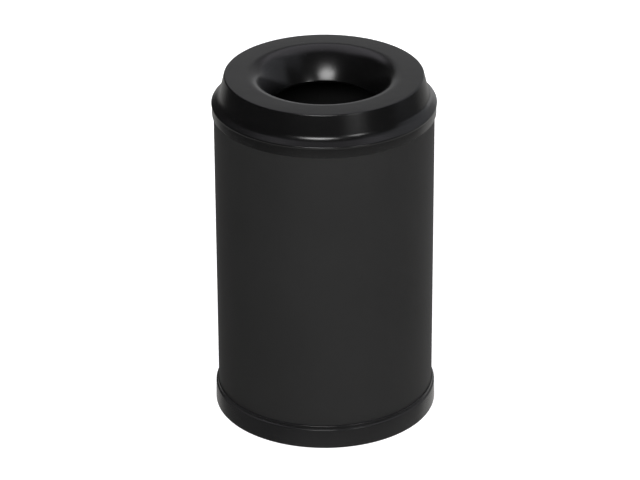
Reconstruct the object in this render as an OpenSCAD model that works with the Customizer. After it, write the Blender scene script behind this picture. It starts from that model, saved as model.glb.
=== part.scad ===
// Self-extinguishing litter bin: a rolled steel can on a plastic foot ring,
// with a loose funnel-shaped head that sits over its rim.
// Origin at the centre of the foot ring's underside, +Z up, the shell's seam at +Y.

/* [Can] */
// Outside diameter of the rolled shell
shell_d = 250; // [230:1:300]
// Thickness of the shell's sheet
shell_t = 0.8; // [0.6:0.1:1]
// Outside radius of the curl along the shell's top edge
curl_r = 2.5; // [2.2:0.1:3]
// Width of the lap at the shell's seam
lap_w = 10; // [6:1:16]

/* [Head] */
// Height of the head's flat top above the floor
head_top_z = 412; // [360:1:460]
// Drop from the flat top to the middle of the bead between shoulder and skirt
bead_drop = 33.8; // [30:0.2:40]
// Length of the skirt, from the middle of the bead down
skirt_len = 12.2; // [8:0.1:20]
// Thickness of the head's sheet
head_t = 1.2; // [1:0.1:1.4]
// How far the flat top's outer edge lies inside the shell's face
crown_inset = 12; // [10:0.5:14]
// Radius of the top's outer edge
crown_r = 2; // [2:0.1:4]
// Lean of the head's side wall from the vertical, in degrees
wall_lean = 13.5; // [7:0.5:14]
// Inside radius of the corner between side wall and shoulder
foot_r = 12; // [4:0.5:12]
// Fall of the shoulder, in degrees
shoulder_fall = 38; // [25:1:42]
// Radius of the bead along the shoulder's outer edge
bead_r = 1.5; // [1.5:0.1:2]
// How far the bead stands out from the skirt
bead_out = 0.6; // [0.2:0.1:0.8]

/* [Funnel] */
// Diameter where the flat top turns down into the funnel
mouth_d = 177.6; // [170:0.2:188]
// Radius of the bend at the mouth
mouth_r = 21; // [15:1:30]
// Slope reached at the end of the mouth bend, in degrees
mouth_slope = 50; // [40:1:55]
// Radius of the long curve down to the throat
cone_r = 110; // [80:5:120]
// Slope at the throat, in degrees
throat_slope = 66; // [60:1:75]
// Outside radius of the curl around the throat
throat_curl_r = 2.4; // [2:0.1:3]

/* [Foot ring] */
// How far the foot ring stands out from the shell
ring_out = 3.5; // [3:0.1:4.5]
// Height of the ring's wall, up to its ledge
ring_wall_h = 23.6; // [18:0.2:24]
// Full height of the ring, collar included
ring_h = 27.8; // [27:0.2:32]
// Thickness of the ring under the shell's edge
ring_floor_t = 3; // [2:0.2:5]
// Height of the ring's inner lip
ring_lip_h = 11; // [8:0.5:11.5]

/* [Floor pan] */
// Height of the pan's outer flat above the floor
pan_z = 14.5; // [14:0.5:20]
// Thickness of the pan's sheet
pan_t = 0.8; // [0.6:0.1:1]
// Diameter of the pan's raised centre
pan_centre_d = 152; // [120:1:180]
// Rise of the centre above the outer flat
pan_rise = 4; // [2.5:0.5:6]

/* [Hidden] */
$fn = 180;
shell_r = shell_d / 2;
shell_in_r = shell_r - shell_t;
slip = 0.6;
seat = 0.3;
fit = 0.1;
edge_lift = 0.2;
shell_bottom_z = ring_floor_t + edge_lift;

skirt_r = shell_r + slip + head_t;
bead_z = head_top_z - bead_drop;
skirt_bottom_z = bead_z - skirt_len;
shoulder_a = 90 - shoulder_fall;
bead_c = [skirt_r + bead_out - bead_r, bead_z];
crown_c = [shell_r - crown_inset - crown_r, head_top_z - crown_r];
foot_c = tangent_centre(crown_c + crown_r * dir(wall_lean), wall_lean,
                        bead_c + bead_r * dir(shoulder_a), shoulder_a, foot_r);

// Under the bead the sheet turns back in to the skirt.
return_r = 1;
bead_a = acos(1 - bead_out / (bead_r + return_r));
return_c = bead_c + (bead_r + return_r) * dir(-bead_a);

mouth_c = [mouth_d / 2, head_top_z - mouth_r];
cone_c = mouth_c - (cone_r - mouth_r) * dir(90 + mouth_slope);
throat_c = cone_c + (cone_r - throat_curl_r) * dir(90 + throat_slope);

// The rim's curl stands just under the shoulder, the seat gap away from its sheet.
rim_reach = dir(shoulder_a) * bead_c + bead_r - head_t - seat - curl_r;
rim_r = shell_r - curl_r;
rim_c = [rim_r, (rim_reach - rim_r * cos(shoulder_a)) / sin(shoulder_a)];
wire_r = curl_r - shell_t - fit;

pan_out_r = shell_in_r - fit;
pan_bend_r = 2;
pan_step_r = 3;
pan_step_a = 45;

function dir(a) = [cos(a), sin(a)];

function arc(c, r, a0, a1, steps) =
    [for (i = [0 : steps]) c + r * dir(a0 + (a1 - a0) * i / steps)];

function reversed(p) = [for (i = [len(p) - 1 : -1 : 0]) p[i]];

// Centre of a corner that lies d outside two lines, each given by a point and its normal's angle.
function tangent_centre(p1, a1, p2, a2, d) =
    let (k1 = p1 * dir(a1) + d, k2 = p2 * dir(a2) + d)
    [(k1 * sin(a2) - k2 * sin(a1)) / sin(a2 - a1),
     (k2 * cos(a1) - k1 * cos(a2)) / sin(a2 - a1)];

// One face of the head's sheet, from the throat's curl to the skirt's edge, t below the upper face.
function head_face(t) = concat(
    arc(throat_c, throat_curl_r - t, 350 + throat_slope, 90 + throat_slope, 20),
    arc(cone_c, cone_r - t, 90 + throat_slope, 90 + mouth_slope, 16),
    arc(mouth_c, mouth_r - t, 90 + mouth_slope, 90, 20),
    arc(crown_c, crown_r - t, 90, wall_lean, 10),
    arc(foot_c, foot_r + t, 180 + wall_lean, 180 + shoulder_a, 12),
    arc(bead_c, bead_r - t, shoulder_a, -bead_a, 12),
    arc(return_c, return_r + t, 180 - bead_a, 180, 6),
    [[skirt_r - t, skirt_bottom_z]]);

// One face of the shell's sheet, from its lower edge to the end of the rim's curl.
function shell_face(t) = concat(
    [[shell_r - t, shell_bottom_z]],
    arc(rim_c, curl_r - t, 0, 300, 24));

// One face of the floor pan's sheet, from the flange's lower edge to the centre.
function pan_face(t) =
    let (step_c = [pan_centre_d / 2, pan_z + pan_rise - pan_step_r],
         slope_h = pan_rise - 2 * pan_step_r * (1 - cos(pan_step_a)),
         foot_shift = 2 * pan_step_r * sin(pan_step_a) + slope_h / tan(pan_step_a))
    concat(
        [[pan_out_r - t, shell_bottom_z]],
        arc([pan_out_r - pan_bend_r, pan_z - pan_bend_r], pan_bend_r - t, 0, 90, 8),
        arc([step_c[0] + foot_shift, pan_z + pan_step_r], pan_step_r + t, 270, 180 + pan_step_a, 6),
        arc(step_c, pan_step_r - t, pan_step_a, 90, 6),
        [[0, pan_z + pan_rise - t]]);

module turned_sheet(upper, lower) {
    rotate_extrude() polygon(concat(upper, reversed(lower)));
}

// Pressed aluminium head: flat top, funnel, side wall, shoulder and skirt in one sheet.
module head() {
    color([0.06, 0.06, 0.065]) turned_sheet(head_face(0), head_face(head_t));
}

// Rolled sheet steel, curled inward over a wire at the top, with a lapped seam at the back.
module shell() {
    groove_w = 0.6;
    groove_depth = 0.25;
    lap_z = pan_z + 1;
    lap_top_z = rim_c[1] - curl_r - 4;
    lap_angle = lap_w / shell_in_r * 180 / PI;
    color([0.16, 0.16, 0.16]) {
        difference() {
            turned_sheet(shell_face(0), shell_face(shell_t));
            translate([-groove_w / 2, shell_r - groove_depth, ring_h])
                cube([groove_w, 2, rim_c[1] - ring_h]);
        }
        rotate([0, 0, 90 - lap_angle / 2])
            rotate_extrude(angle = lap_angle)
                translate([shell_in_r - shell_t, lap_z])
                    square([shell_t + 0.2, lap_top_z - lap_z]);
    }
}

// Steel wire that the shell's top edge is curled around.
module rim_wire() {
    color([0.55, 0.55, 0.56])
        rotate_extrude() translate(rim_c) circle(r = wire_r);
}

// Pressed steel floor, its flange inside the shell's lower edge.
module floor_pan() {
    color([0.16, 0.16, 0.16]) turned_sheet(pan_face(0), pan_face(pan_t));
}

// Moulded plastic ring whose channel grips the lower edges of shell and pan.
// Outside, a narrow ledge and a low collar lead from the ring's wall up to the shell.
module foot_ring() {
    foot_edge_r = 1.2;
    wall_draft = 1;
    edge_r = 1.2;
    ledge_a = 65;
    collar_a = 5;
    collar_t = 1.2;
    collar_edge_r = 0.9;
    corner_r = 0.3;
    channel_out_r = shell_r + fit;
    channel_in_r = pan_out_r - pan_t - 2 * fit;
    lip_in_r = channel_in_r - 2;
    heel_r = lip_in_r - 2.5;
    ring_r = shell_r + ring_out;
    edge_c = [ring_r - ring_wall_h * tan(wall_draft) - edge_r, ring_wall_h - edge_r];
    collar_c = [channel_out_r + collar_t - collar_edge_r, ring_h - collar_edge_r];
    corner_c = tangent_centre(edge_c + edge_r * dir(ledge_a), ledge_a,
                              collar_c + collar_edge_r * dir(collar_a), collar_a, corner_r);
    color([0.15, 0.15, 0.155]) rotate_extrude() polygon(concat(
        [[heel_r, 0]],
        arc([ring_r - foot_edge_r, foot_edge_r], foot_edge_r, -90, wall_draft, 8),
        arc(edge_c, edge_r, wall_draft, ledge_a, 6),
        arc(corner_c, corner_r, 180 + ledge_a, 180 + collar_a, 4),
        arc(collar_c, collar_edge_r, collar_a, 90, 5),
        [[channel_out_r + 0.2, ring_h],
         [channel_out_r, ring_h - 1.5],
         [channel_out_r, ring_floor_t],
         [channel_in_r, ring_floor_t],
         [channel_in_r, ring_lip_h - 1],
         [channel_in_r - 0.5, ring_lip_h],
         [lip_in_r, ring_lip_h],
         [lip_in_r, ring_floor_t],
         [heel_r, ring_floor_t]]));
}

head();
shell();
rim_wire();
floor_pan();
foot_ring();
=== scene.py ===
"""Round self-extinguishing litter bin on a pale studio floor.

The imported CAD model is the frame. The head and the foot ring are turned again here from
fine outlines, so that their bends reflect smoothly, and stand in for their CAD nodes.
"""
import math

import bmesh
import bpy
from mathutils import Euler, Matrix, Vector


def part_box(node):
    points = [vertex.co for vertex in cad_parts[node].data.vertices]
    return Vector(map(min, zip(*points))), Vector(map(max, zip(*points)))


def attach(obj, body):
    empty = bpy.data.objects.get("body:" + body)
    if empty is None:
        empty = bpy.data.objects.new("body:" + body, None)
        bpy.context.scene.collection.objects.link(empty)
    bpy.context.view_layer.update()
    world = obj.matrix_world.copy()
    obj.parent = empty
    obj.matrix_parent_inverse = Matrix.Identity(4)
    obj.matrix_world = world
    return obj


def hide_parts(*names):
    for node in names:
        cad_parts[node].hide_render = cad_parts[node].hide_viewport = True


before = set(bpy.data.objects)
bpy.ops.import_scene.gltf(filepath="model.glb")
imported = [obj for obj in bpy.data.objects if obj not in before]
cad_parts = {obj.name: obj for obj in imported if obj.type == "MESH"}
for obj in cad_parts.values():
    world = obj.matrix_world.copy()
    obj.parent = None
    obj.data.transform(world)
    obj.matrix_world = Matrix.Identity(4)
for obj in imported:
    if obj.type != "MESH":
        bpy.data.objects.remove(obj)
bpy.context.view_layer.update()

MM = 0.001
TURN_STEPS = 256
CAN_INNER_R = 124.6 * MM

WHITE = (1, 1, 1)
WARM_WHITE = (1, 0.99, 0.97)
COOL_WHITE = (0.98, 0.985, 1)
WINDOW_BLUE = (0.9, 0.93, 1)
LILAC_WHITE = (0.95, 0.92, 1)


# ---------------------------------------------------------------- outlines

def toward(degrees):
    """Unit step in the outline plane (radius, height)."""
    a = math.radians(degrees)
    return Vector((math.cos(a), math.sin(a)))


def arc(centre, radius, start, end, steps):
    """Points on an arc, from one angle to the other, in degrees."""
    return [centre + radius * toward(start + (end - start) * i / steps) for i in range(steps + 1)]


def corner_centre(p1, a1, p2, a2, gap):
    """Centre of a round corner that lies gap outside two lines, given by points and normals."""
    k1 = p1.dot(toward(a1)) + gap
    k2 = p2.dot(toward(a2)) + gap
    s = math.sin(math.radians(a2 - a1))
    n1 = toward(a1)
    n2 = toward(a2)
    return Vector(((k1 * n2.y - k2 * n1.y) / s, (k2 * n1.x - k1 * n2.x) / s))


def head_outline():
    """Closed outline of the head's sheet, upper face first, from the throat to the skirt."""
    low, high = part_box("head")
    sheet = 1.2 * MM
    skirt_len = 12.2 * MM
    skirt_edge_r = 0.2 * MM
    crown_r = 113 * MM
    crown_edge_r = 2 * MM
    foot_r = 12 * MM
    bead_r = 1.5 * MM
    return_r = 1 * MM
    bead_out = 0.6 * MM
    mouth_ring_r = 88.8 * MM
    mouth_r = 21 * MM
    cone_r = 110 * MM
    curl_r = 2.4 * MM
    curl_turn = 260
    lean = 13.5
    shoulder_a = 90 - 38
    mouth_a = 90 + 50
    throat_a = 90 + 66
    bead_a = math.degrees(math.acos(1 - bead_out / (bead_r + return_r)))
    skirt_r = high.x - bead_out
    bead_c = Vector((high.x - bead_r, low.z + skirt_len))
    return_c = bead_c + (bead_r + return_r) * toward(-bead_a)
    crown_c = Vector((crown_r - crown_edge_r, high.z - crown_edge_r))
    foot_c = corner_centre(crown_c + crown_edge_r * toward(lean), lean,
                           bead_c + bead_r * toward(shoulder_a), shoulder_a, foot_r)
    mouth_c = Vector((mouth_ring_r, high.z - mouth_r))
    cone_c = mouth_c - (cone_r - mouth_r) * toward(mouth_a)
    curl_c = cone_c + (cone_r - curl_r) * toward(throat_a)

    def face(depth):
        """One face of the sheet, at a depth under the upper face."""
        return (arc(curl_c, curl_r - depth, throat_a + curl_turn, throat_a, 40)
                + arc(cone_c, cone_r - depth, throat_a, mouth_a, 28)[1:]
                + arc(mouth_c, mouth_r - depth, mouth_a, 90, 40)[1:]
                + arc(crown_c, crown_edge_r - depth, 90, lean, 14)
                + arc(foot_c, foot_r + depth, 180 + lean, 180 + shoulder_a, 18)
                + arc(bead_c, bead_r - depth, shoulder_a, -bead_a, 20)
                + arc(return_c, return_r + depth, 180 - bead_a, 180, 8)[1:])

    edge_z = low.z + skirt_edge_r
    outer_edge_c = Vector((skirt_r - skirt_edge_r, edge_z))
    inner_edge_c = Vector((skirt_r - sheet + skirt_edge_r, edge_z))
    skirt_edge = arc(outer_edge_c, skirt_edge_r, 0, -90, 4)
    skirt_edge += arc(inner_edge_c, skirt_edge_r, -90, -180, 4)
    return face(0) + skirt_edge + face(sheet)[::-1]


def ring_outline():
    """Closed outline of the foot ring, from its heel out and round to its inner lip."""
    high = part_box("foot_ring")[1]
    foot_edge_r = 1.2 * MM
    edge_r = 1.2 * MM
    collar_t = 1.2 * MM
    collar_edge_r = 0.9 * MM
    corner_r = 0.3 * MM
    draft = 1
    ledge_a = 65
    collar_a = 5
    wall_h = 23.6 * MM
    channel_out = 125.1 * MM
    channel_in = 123.1 * MM
    lead_in = 0.2 * MM
    lead_in_h = 1.5 * MM
    lip_t = 2 * MM
    lip_bevel = 0.5 * MM
    lip_bevel_h = 1 * MM
    heel_w = 2.5 * MM
    floor_z = 3 * MM
    lip_z = 11 * MM
    ring_r = high.x
    lip_in = channel_in - lip_t
    heel = lip_in - heel_w
    wall_top_r = ring_r - wall_h * math.tan(math.radians(draft))
    edge_c = Vector((wall_top_r - edge_r, wall_h - edge_r))
    collar_c = Vector((channel_out + collar_t - collar_edge_r, high.z - collar_edge_r))
    corner_c = corner_centre(edge_c + edge_r * toward(ledge_a), ledge_a,
                             collar_c + collar_edge_r * toward(collar_a), collar_a, corner_r)
    points = [Vector((heel, 0))]
    points += arc(Vector((ring_r - foot_edge_r, foot_edge_r)), foot_edge_r, -90, draft, 10)
    points += arc(edge_c, edge_r, draft, ledge_a, 10)
    points += arc(corner_c, corner_r, 180 + ledge_a, 180 + collar_a, 5)
    points += arc(collar_c, collar_edge_r, collar_a, 90, 8)
    points += [Vector((channel_out + lead_in, high.z)),
               Vector((channel_out, high.z - lead_in_h)),
               Vector((channel_out, floor_z)),
               Vector((channel_in, floor_z)),
               Vector((channel_in, lip_z - lip_bevel_h)),
               Vector((channel_in - lip_bevel, lip_z)),
               Vector((lip_in, lip_z)),
               Vector((lip_in, floor_z)),
               Vector((heel, floor_z))]
    return points


def spun_rings(bm, outline, steps):
    """Copies of an outline at even steps about the Z axis, one list of points for each step."""
    rings = []
    for i in range(steps):
        a = 2 * math.pi * i / steps
        rings.append([bm.verts.new((p.x * math.cos(a), p.x * math.sin(a), p.y)) for p in outline])
    return rings


def turned(name, outline):
    """Turns a closed outline about the Z axis. Corners sharper than the limit stay crisp."""
    sharp_over = math.radians(35)
    count = len(outline)
    mesh = bpy.data.meshes.new(name)
    bm = bmesh.new()
    rings = spun_rings(bm, outline, TURN_STEPS)
    for i in range(TURN_STEPS):
        here = rings[i]
        there = rings[(i + 1) % TURN_STEPS]
        for j in range(count):
            k = (j + 1) % count
            bm.faces.new((here[j], here[k], there[k], there[j]))
    bmesh.ops.recalc_face_normals(bm, faces=bm.faces)
    for face in bm.faces:
        face.smooth = True
    for edge in bm.edges:
        edge.smooth = len(edge.link_faces) == 2 and edge.calc_face_angle() < sharp_over
    bm.to_mesh(mesh)
    bm.free()
    piece = bpy.data.objects.new(name, mesh)
    bpy.context.scene.collection.objects.link(piece)
    return piece


# ---------------------------------------------------------------- materials

class Nodes:
    """Small helper that adds nodes to one material and links them."""

    mix_colour_inputs = slice(6, 8)
    mix_colour_output = 2

    def __init__(self, name):
        self.material = bpy.data.materials.new(name)
        self.material.use_nodes = True
        self.tree = self.material.node_tree
        self.shader = self.tree.nodes["Principled BSDF"]
        self.place = self.tree.nodes.new("ShaderNodeTexCoord").outputs["Object"]

    def add(self, kind, **settings):
        node = self.tree.nodes.new(kind)
        for key, value in settings.items():
            setattr(node, key, value)
        return node

    def link(self, out, socket):
        self.tree.links.new(out, socket)

    def noise(self, scale, detail, rough, where=None):
        """Noise of 0 to 1. Scale is in waves per metre."""
        node = self.add("ShaderNodeTexNoise")
        node.inputs["Scale"].default_value = scale
        node.inputs["Detail"].default_value = detail
        node.inputs["Roughness"].default_value = rough
        self.link(where or self.place, node.inputs["Vector"])
        return node.outputs["Fac"]

    def spread(self, value, low, high):
        """Maps the middle half of a 0 to 1 value onto low to high."""
        node = self.add("ShaderNodeMapRange")
        node.inputs["From Min"].default_value = 0.25
        node.inputs["From Max"].default_value = 0.75
        node.inputs["To Min"].default_value = low
        node.inputs["To Max"].default_value = high
        self.link(value, node.inputs["Value"])
        return node.outputs["Result"]

    def blend(self, value, first, second):
        """Mixes two colours by a value. A colour is three numbers or another node's output."""
        node = self.add("ShaderNodeMix", data_type="RGBA")
        for socket, colour in zip(node.inputs[self.mix_colour_inputs], (first, second)):
            if isinstance(colour, tuple):
                socket.default_value = (*colour, 1)
            else:
                self.link(colour, socket)
        self.link(value, node.inputs["Factor"])
        return node.outputs[self.mix_colour_output]

    def bump(self, height, distance, under=None):
        node = self.add("ShaderNodeBump")
        node.inputs["Distance"].default_value = distance
        node.inputs["Strength"].default_value = 1.0
        self.link(height, node.inputs["Height"])
        if under is not None:
            self.link(under, node.inputs["Normal"])
        return node.outputs["Normal"]

    def radius(self):
        """Distance from the vertical axis."""
        flat = self.add("ShaderNodeVectorMath", operation="MULTIPLY")
        flat.inputs[1].default_value = (1, 1, 0)
        self.link(self.place, flat.inputs[0])
        length = self.add("ShaderNodeVectorMath", operation="LENGTH")
        self.link(flat.outputs["Vector"], length.inputs[0])
        return length.outputs["Value"]

    def finish(self, colour, roughness, normal, **fixed):
        """Feeds the shader. Values that are the same everywhere are set on its own sockets."""
        self.link(colour, self.shader.inputs["Base Color"])
        self.link(roughness, self.shader.inputs["Roughness"])
        self.link(normal, self.shader.inputs["Normal"])
        for key, value in fixed.items():
            self.shader.inputs[key.replace("_", " ")].default_value = value
        return self.material


def black_lacquer():
    """Baked satin lacquer over a spun pressing: orange peel, faint turning marks."""
    n = Nodes("black_lacquer")
    peel = n.noise(700, 3.0, 0.55)
    dust = n.noise(4200, 2.0, 0.6)
    waves = n.noise(28, 2.0, 0.4)
    line_place = n.add("ShaderNodeCombineXYZ")
    n.link(n.radius(), line_place.inputs["X"])
    turning = n.noise(2600, 2.0, 0.7, line_place.outputs["Vector"])
    colour = n.blend(n.spread(waves, 0, 1), (0.0016, 0.0016, 0.0017), (0.0024, 0.0024, 0.0025))
    roughness = n.spread(dust, 0.2, 0.25)
    normal = n.bump(waves, 0.35 * MM)
    normal = n.bump(turning, 0.0015 * MM, under=normal)
    normal = n.bump(peel, 0.006 * MM, under=normal)
    return n.finish(colour, roughness, normal, IOR=1.5)


def powder_coat(name, outside_over):
    """Matte charcoal powder coat: fine grain over a soft low texture.

    Nearer the axis than the given radius, on the can's inside, the colour is a near black painted
    shade and the roughness is dull.
    """
    n = Nodes(name)
    # Painted shade: the can's inside is darkened to near black, where little light reaches.
    inside_painted_shade_colour = (0.002, 0.002, 0.002)
    inside_roughness = 0.95
    grain = n.noise(2300, 3.0, 0.65)
    texture = n.noise(620, 2.0, 0.5)
    cloud = n.noise(9, 3.0, 0.5)
    colour = n.blend(n.spread(cloud, 0, 1), (0.0074, 0.0073, 0.0072), (0.009, 0.0089, 0.0088))
    roughness = n.spread(grain, 0.5, 0.62)
    normal = n.bump(texture, 0.03 * MM)
    normal = n.bump(grain, 0.014 * MM, under=normal)
    outside = n.add("ShaderNodeMath", operation="GREATER_THAN")
    outside.inputs[1].default_value = outside_over
    n.link(n.radius(), outside.inputs[0])
    # Painted shade on the inside, the powder coat's own colour on the outside.
    colour = n.blend(outside.outputs["Value"], inside_painted_shade_colour, colour)
    either = n.add("ShaderNodeMix")
    either.inputs["A"].default_value = inside_roughness
    n.link(outside.outputs["Value"], either.inputs["Factor"])
    n.link(roughness, either.inputs["B"])
    return n.finish(colour, either.outputs["Result"], normal, IOR=1.5)


def ring_plastic():
    """Moulded black polypropylene with a fine spark-eroded texture."""
    n = Nodes("ring_plastic")
    erosion = n.noise(1500, 3.0, 0.6)
    flow = n.noise(16, 2.0, 0.5)
    colour = n.blend(n.spread(flow, 0, 1), (0.005, 0.005, 0.0052), (0.0068, 0.0068, 0.007))
    roughness = n.spread(erosion, 0.15, 0.21)
    normal = n.bump(flow, 0.3 * MM)
    normal = n.bump(erosion, 0.01 * MM, under=normal)
    return n.finish(colour, roughness, normal, IOR=1.5)


def galvanised():
    """Zinc-coated steel wire with soft spangle."""
    n = Nodes("galvanised_wire")
    cells = n.add("ShaderNodeTexVoronoi")
    cells.inputs["Scale"].default_value = 260
    n.link(n.place, cells.inputs["Vector"])
    streak = n.noise(900, 2.0, 0.6)
    colour = n.blend(cells.outputs["Distance"], (0.4, 0.41, 0.43), (0.55, 0.56, 0.57))
    roughness = n.spread(streak, 0.38, 0.5)
    normal = n.bump(streak, 0.01 * MM)
    return n.finish(colour, roughness, normal, Metallic=1.0)


def coat(node_name, material):
    """Gives a CAD node that stays in view its material."""
    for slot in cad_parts[node_name].material_slots:
        slot.material = material


# ---------------------------------------------------------------- the bin

def build_bin():
    head = turned("extinguishing_head", head_outline())
    head.data.materials.append(black_lacquer())
    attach(head, "head")
    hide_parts("head")

    ring = turned("floor_ring", ring_outline())
    ring.data.materials.append(ring_plastic())
    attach(ring, "can")
    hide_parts("foot_ring")

    coat("shell", powder_coat("shell_powder", CAN_INNER_R))
    coat("floor_pan", powder_coat("pan_powder", 0))
    coat("rim_wire", galvanised())


# ---------------------------------------------------------------- studio

def studio_white():
    """Pale matte floor paint with a glow of its own, so that the floor stays near white."""
    n = Nodes("studio_white")
    mottle = n.noise(3, 2.0, 0.5)
    colour = n.blend(n.spread(mottle, 0, 1), (0.86, 0.86, 0.86), (0.88, 0.88, 0.88))
    grain = n.noise(300, 2.0, 0.5)
    n.finish(colour, n.spread(grain, 0.8, 0.9), n.bump(grain, 0.05 * MM))
    n.shader.inputs["Specular IOR Level"].default_value = 0.0
    n.shader.inputs["Emission Color"].default_value = (*WHITE, 1)
    n.shader.inputs["Emission Strength"].default_value = 0.62
    return n.material


def studio_floor():
    """Round floor that curves up into a wall far behind the camera."""
    inner_rings = (0.3, 2.0)
    floor_r = 7.0
    bend_r = 2.0
    wall_top = 7.0
    steps = 96
    outline = [Vector((r, 0.0)) for r in inner_rings]
    outline += arc(Vector((floor_r, bend_r)), bend_r, -90, 0, 16)
    outline += [Vector((floor_r + bend_r, wall_top))]
    mesh = bpy.data.meshes.new("studio_floor")
    bm = bmesh.new()
    hub = bm.verts.new((0, 0, 0))
    rings = spun_rings(bm, outline, steps)
    for i in range(steps):
        here = rings[i]
        there = rings[(i + 1) % steps]
        bm.faces.new((hub, here[0], there[0]))
        for j in range(len(here) - 1):
            bm.faces.new((here[j], here[j + 1], there[j + 1], there[j]))
    for face in bm.faces:
        face.smooth = True
    bm.to_mesh(mesh)
    bm.free()
    floor = bpy.data.objects.new("studio_floor", mesh)
    bpy.context.scene.collection.objects.link(floor)
    floor.data.materials.append(studio_white())
    floor.visible_glossy = False


def softbox(name, azimuth, elevation, width, height, watts):
    """Oval soft light aimed at the upper part of the bin. Azimuth 0 is on the camera's side."""
    aim = Vector((0, 0, 0.3))
    distance = 1.5
    a = math.radians(azimuth)
    e = math.radians(elevation)
    data = bpy.data.lights.new(name, "AREA")
    data.shape = "ELLIPSE"
    data.size = width
    data.size_y = height
    data.energy = watts
    lamp = bpy.data.objects.new(name, data)
    step = Vector((math.sin(a) * math.cos(e), -math.cos(a) * math.cos(e), math.sin(e)))
    lamp.location = aim + distance * step
    lamp.rotation_euler = (aim - lamp.location).to_track_quat("-Z", "Y").to_euler()
    bpy.context.scene.collection.objects.link(lamp)


class Surroundings:
    """World light as dim surroundings with soft bright panels, each set by its place in the sky.

    Places and sizes are in degrees. Azimuth 0 is the camera's side, and they grow to its right.
    """

    def __init__(self, base_strength):
        world = bpy.data.worlds.new("studio_world")
        world.use_nodes = True
        bpy.context.scene.world = world
        self.tree = world.node_tree
        self.way = self.tree.nodes.new("ShaderNodeTexCoord").outputs["Generated"]
        self.sum = self.tree.nodes["Background"]
        self.sum.inputs["Color"].default_value = (*WHITE, 1)
        self.sum.inputs["Strength"].default_value = base_strength

    def calc(self, operation, first, second=None):
        node = self.tree.nodes.new("ShaderNodeMath")
        node.operation = operation
        for socket, value in zip(node.inputs, (first, second)):
            if isinstance(value, (int, float)):
                socket.default_value = value
            elif value is not None:
                self.tree.links.new(value, socket)
        return node.outputs["Value"]

    def ramp(self, value, start, end, low, high):
        """Smooth step of a value, from low at start to high at end."""
        node = self.tree.nodes.new("ShaderNodeMapRange")
        node.interpolation_type = "SMOOTHSTEP"
        node.inputs["From Min"].default_value = start
        node.inputs["From Max"].default_value = end
        node.inputs["To Min"].default_value = low
        node.inputs["To Max"].default_value = high
        self.tree.links.new(value, node.inputs["Value"])
        return node.outputs["Result"]

    def angle_ramp(self, angle, start, end, low, high):
        """Ramp over an angle in radians, with start and end in degrees."""
        return self.ramp(angle, math.radians(start), math.radians(end), low, high)

    def band(self, angle, half, soft):
        """1 where an angle in radians is less than half away from zero, with a soft edge to 0."""
        size = self.calc("ABSOLUTE", angle)
        return self.angle_ramp(size, half - soft / 2, half + soft / 2, 1, 0)

    def split(self, vector):
        parts = self.tree.nodes.new("ShaderNodeSeparateXYZ")
        self.tree.links.new(vector, parts.inputs["Vector"])
        return parts.outputs

    def right_of(self, azimuth):
        """Angle in radians to the right of an azimuth."""
        spin = self.tree.nodes.new("ShaderNodeVectorRotate")
        spin.rotation_type = "Z_AXIS"
        spin.inputs["Angle"].default_value = -math.radians(azimuth)
        self.tree.links.new(self.way, spin.inputs["Vector"])
        parts = self.split(spin.outputs["Vector"])
        return self.calc("ARCTAN2", parts["X"], self.calc("MULTIPLY", parts["Y"], -1))

    def above_horizon(self):
        """Angle in radians above the horizon."""
        return self.calc("ARCSINE", self.split(self.way)["Z"])

    def add(self, strength, colour):
        glow = self.tree.nodes.new("ShaderNodeBackground")
        glow.inputs["Color"].default_value = (*colour, 1)
        self.tree.links.new(strength, glow.inputs["Strength"])
        both = self.tree.nodes.new("ShaderNodeAddShader")
        self.tree.links.new(self.sum.outputs[0], both.inputs[0])
        self.tree.links.new(glow.outputs["Background"], both.inputs[1])
        self.sum = both
        self.tree.links.new(both.outputs[0], self.tree.nodes["World Output"].inputs["Surface"])

    def floor_glow(self, fade, below, above, colour):
        """Light from under the horizon that fades between two elevations and on the far left."""
        left_fade = (-0.85, -0.25)
        left_share = 0.35
        rise = self.angle_ramp(self.above_horizon(), *fade, below, above)
        shade = self.ramp(self.split(self.way)["X"], *left_fade, left_share, 1)
        self.add(self.calc("MULTIPLY", rise, shade), colour)

    def panel(self, azimuth, elevation, half_width, half_height, soft, strength, colour):
        """Soft rectangular panel."""
        right = self.right_of(azimuth)
        up = self.calc("SUBTRACT", self.above_horizon(), math.radians(elevation))
        mask = self.calc("MULTIPLY", self.band(right, half_width, soft),
                         self.band(up, half_height, soft))
        self.add(self.calc("MULTIPLY", mask, strength), colour)

    def overhead(self, fade_in, fade_out, half_width, soft, strength, colour):
        """Strip over the top. Fades are measured from the back horizon, over the zenith."""
        parts = self.split(self.way)
        turn = self.calc("ARCTAN2", parts["Z"], parts["Y"])
        mask = self.band(self.calc("ARCSINE", parts["X"]), half_width, soft)
        mask = self.calc("MULTIPLY", mask, self.angle_ramp(turn, *fade_in, 0, 1))
        mask = self.calc("MULTIPLY", mask, self.angle_ramp(turn, *fade_out, 1, 0))
        self.add(self.calc("MULTIPLY", mask, strength), colour)


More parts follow.
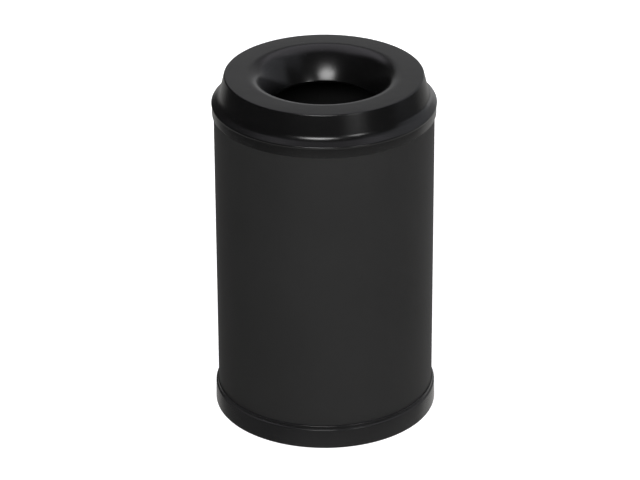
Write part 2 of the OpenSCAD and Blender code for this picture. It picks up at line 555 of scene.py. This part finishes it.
def world_light():
    """Dim room: glow from the floor, pale backdrop, strip overhead, window on the right."""
    room = Surroundings(base_strength=0.03)
    room.floor_glow(fade=(-50, -6), below=0.5, above=0.035, colour=WARM_WHITE)
    room.panel(azimuth=167, elevation=13, half_width=31, half_height=21, soft=12,
               strength=0.36, colour=COOL_WHITE)
    room.panel(azimuth=160, elevation=0, half_width=22, half_height=9, soft=10,
               strength=0.35, colour=COOL_WHITE)
    room.panel(azimuth=150, elevation=-24, half_width=28, half_height=13, soft=14,
               strength=0.24, colour=WARM_WHITE)
    room.panel(azimuth=-158, elevation=-14, half_width=20, half_height=12, soft=14,
               strength=0.2, colour=WARM_WHITE)
    room.overhead(fade_in=(38, 46), fade_out=(79, 121), half_width=34, soft=22,
                  strength=0.83, colour=LILAC_WHITE)
    room.panel(azimuth=112, elevation=20, half_width=26, half_height=22, soft=16,
               strength=0.42, colour=WINDOW_BLUE)
    room.panel(azimuth=85, elevation=48, half_width=35, half_height=14, soft=14,
               strength=0.28, colour=WINDOW_BLUE)
    room.panel(azimuth=33, elevation=2, half_width=11, half_height=14, soft=10,
               strength=0.24, colour=WHITE)


def camera():
    """Long lens from a little over head height, as far away as the perspective asks."""
    distance = 3.2878
    height = 1.857
    side = -0.0054
    tilt = 26.712
    roll = -0.283
    data = bpy.data.cameras.new("camera")
    data.sensor_width = 36
    data.lens = 179.66
    data.clip_end = 60
    cam = bpy.data.objects.new("camera", data)
    cam.location = (side, -distance, height)
    level = Euler((math.radians(90 - tilt), 0, 0)).to_matrix()
    cam.rotation_euler = (level @ Matrix.Rotation(math.radians(roll), 3, "Z")).to_euler()
    bpy.context.scene.collection.objects.link(cam)
    bpy.context.scene.camera = cam


def build_studio():
    bpy.context.scene.view_settings.view_transform = "Standard"
    camera()
    studio_floor()
    world_light()
    softbox("key_light", azimuth=-6.5, elevation=35, width=0.78, height=0.36, watts=8.6)
    softbox("side_light", azimuth=33, elevation=19, width=0.36, height=0.3, watts=2.1)


build_studio()
build_bin()
